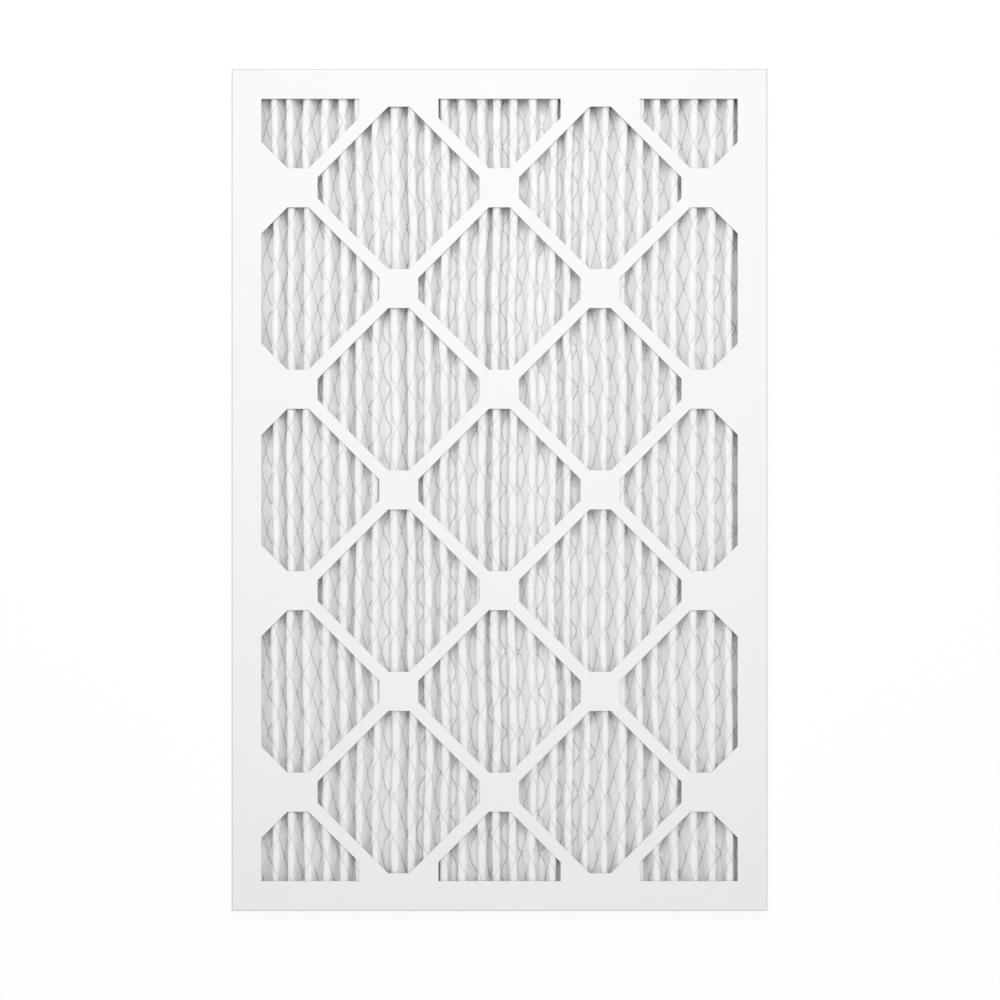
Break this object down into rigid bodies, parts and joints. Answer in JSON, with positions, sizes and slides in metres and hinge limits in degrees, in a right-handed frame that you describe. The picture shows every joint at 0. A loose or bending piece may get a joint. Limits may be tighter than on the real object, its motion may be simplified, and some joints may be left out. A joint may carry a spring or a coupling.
{
  "type": "pleated panel air filter",
  "caption": "Flat rectangular air filter: pleated white media with a wire support mesh, held between two folded card trays with diamond lattice faces.",
  "frame": {"origin": "centre of the rear face, on the plane that the filter lies on", "axes": "+Y along the length and the pleats, +X across the width, +Z through the depth towards the outlet face, which is the mesh side"},
  "size_m": [0.4, 0.6286, 0.0191],
  "materials": {
    "card": "bleached white board, matt, with cut edges",
    "media": "white non-woven polyester, matt and fibrous",
    "wire": "galvanised expanded mesh, dull",
    "hot_melt": "off-white hot-melt, satin"
  },
  "bodies": {
    "root": {"front_frame": "card", "rear_frame": "card", "pleated_media": "media", "support_mesh": "wire", "right_side_seal": "hot_melt", "left_side_seal": "hot_melt", "head_end_seal": "hot_melt", "foot_end_seal": "hot_melt", "right_lap_glue": "hot_melt", "left_lap_glue": "hot_melt", "head_lap_glue": "hot_melt", "foot_lap_glue": "hot_melt"}
  },
  "joints": []
}
